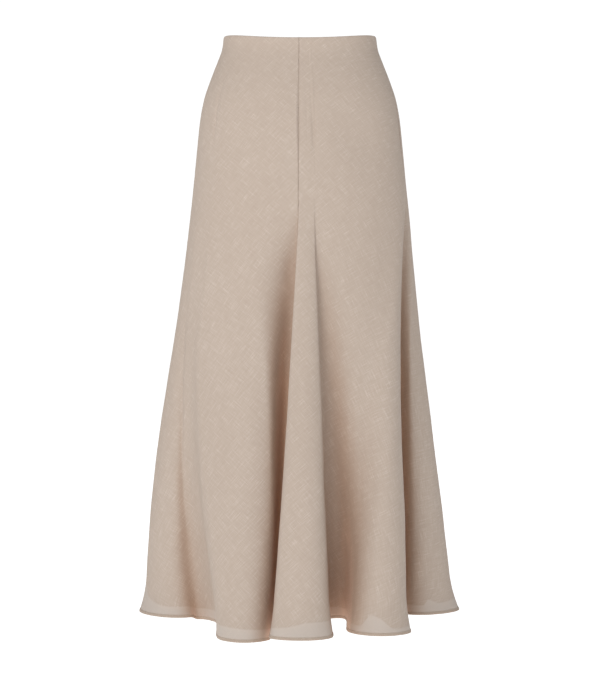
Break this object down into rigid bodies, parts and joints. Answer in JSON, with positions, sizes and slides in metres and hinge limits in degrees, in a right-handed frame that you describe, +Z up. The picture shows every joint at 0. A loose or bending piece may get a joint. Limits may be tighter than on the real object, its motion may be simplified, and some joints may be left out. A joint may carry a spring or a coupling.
{
  "type": "midi skirt",
  "caption": "Flared bias-cut midi skirt with a plain waist edge, centre seams, deep hem flutes, a lining and a concealed back zip; waist and hem are open.",
  "frame": {"origin": "centre of the waist opening, level with the waist edge at the sides", "axes": "+Z up, the front faces -Y, +X towards the right of somebody who looks at the front"},
  "size_m": [0.5079, 0.4585, 0.9304],
  "materials": {
    "linen": "matt slubbed plain weave, cut on the bias",
    "lining": "thin smooth lining cloth",
    "zip_metal": "satin, dyed to the cloth's colour"
  },
  "bodies": {
    "skirt": {"front_panel_left": "linen", "front_panel_right": "linen", "back_panel_left": "linen", "back_panel_right": "linen", "front_lining": "lining", "back_lining": "lining", "zip_slider": "zip_metal"},
    "pull": {"zip_pull": "zip_metal"}
  },
  "joints": [
    {"name": "pull_tab_swing", "type": "hinge", "parent": "skirt", "child": "pull", "pos_m": [0, 0.09596, -0.02028], "axis": [1, 0, 0], "range_deg": [0, 150]}
  ]
}
